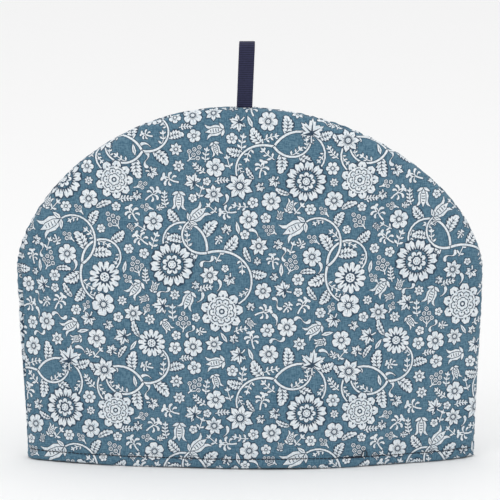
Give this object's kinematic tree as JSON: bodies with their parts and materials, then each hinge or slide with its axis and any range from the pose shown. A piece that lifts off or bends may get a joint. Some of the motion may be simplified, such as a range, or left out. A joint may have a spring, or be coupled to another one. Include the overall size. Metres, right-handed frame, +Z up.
{
  "type": "tea cosy",
  "caption": "Padded domed tea cosy standing open on its hem, front and back panels joined along an arched seam, with a ribbon loop at the top.",
  "frame": {"origin": "on the floor under the middle of the cosy, in the plane of its hem", "axes": "+Z up, +X to the right along the width as the front is seen, the front panel faces -Y and the seam between the panels lies in the plane Y = 0"},
  "size_m": [0.358, 0.1002, 0.3245],
  "materials": {
    "front_cloth": "matte printed cotton",
    "back_cloth": "matte printed cotton",
    "ribbon": "satin ribbed grosgrain"
  },
  "bodies": {
    "root": {"front_panel": "front_cloth", "back_panel": "back_cloth", "ribbon_loop": "ribbon"}
  },
  "joints": []
}
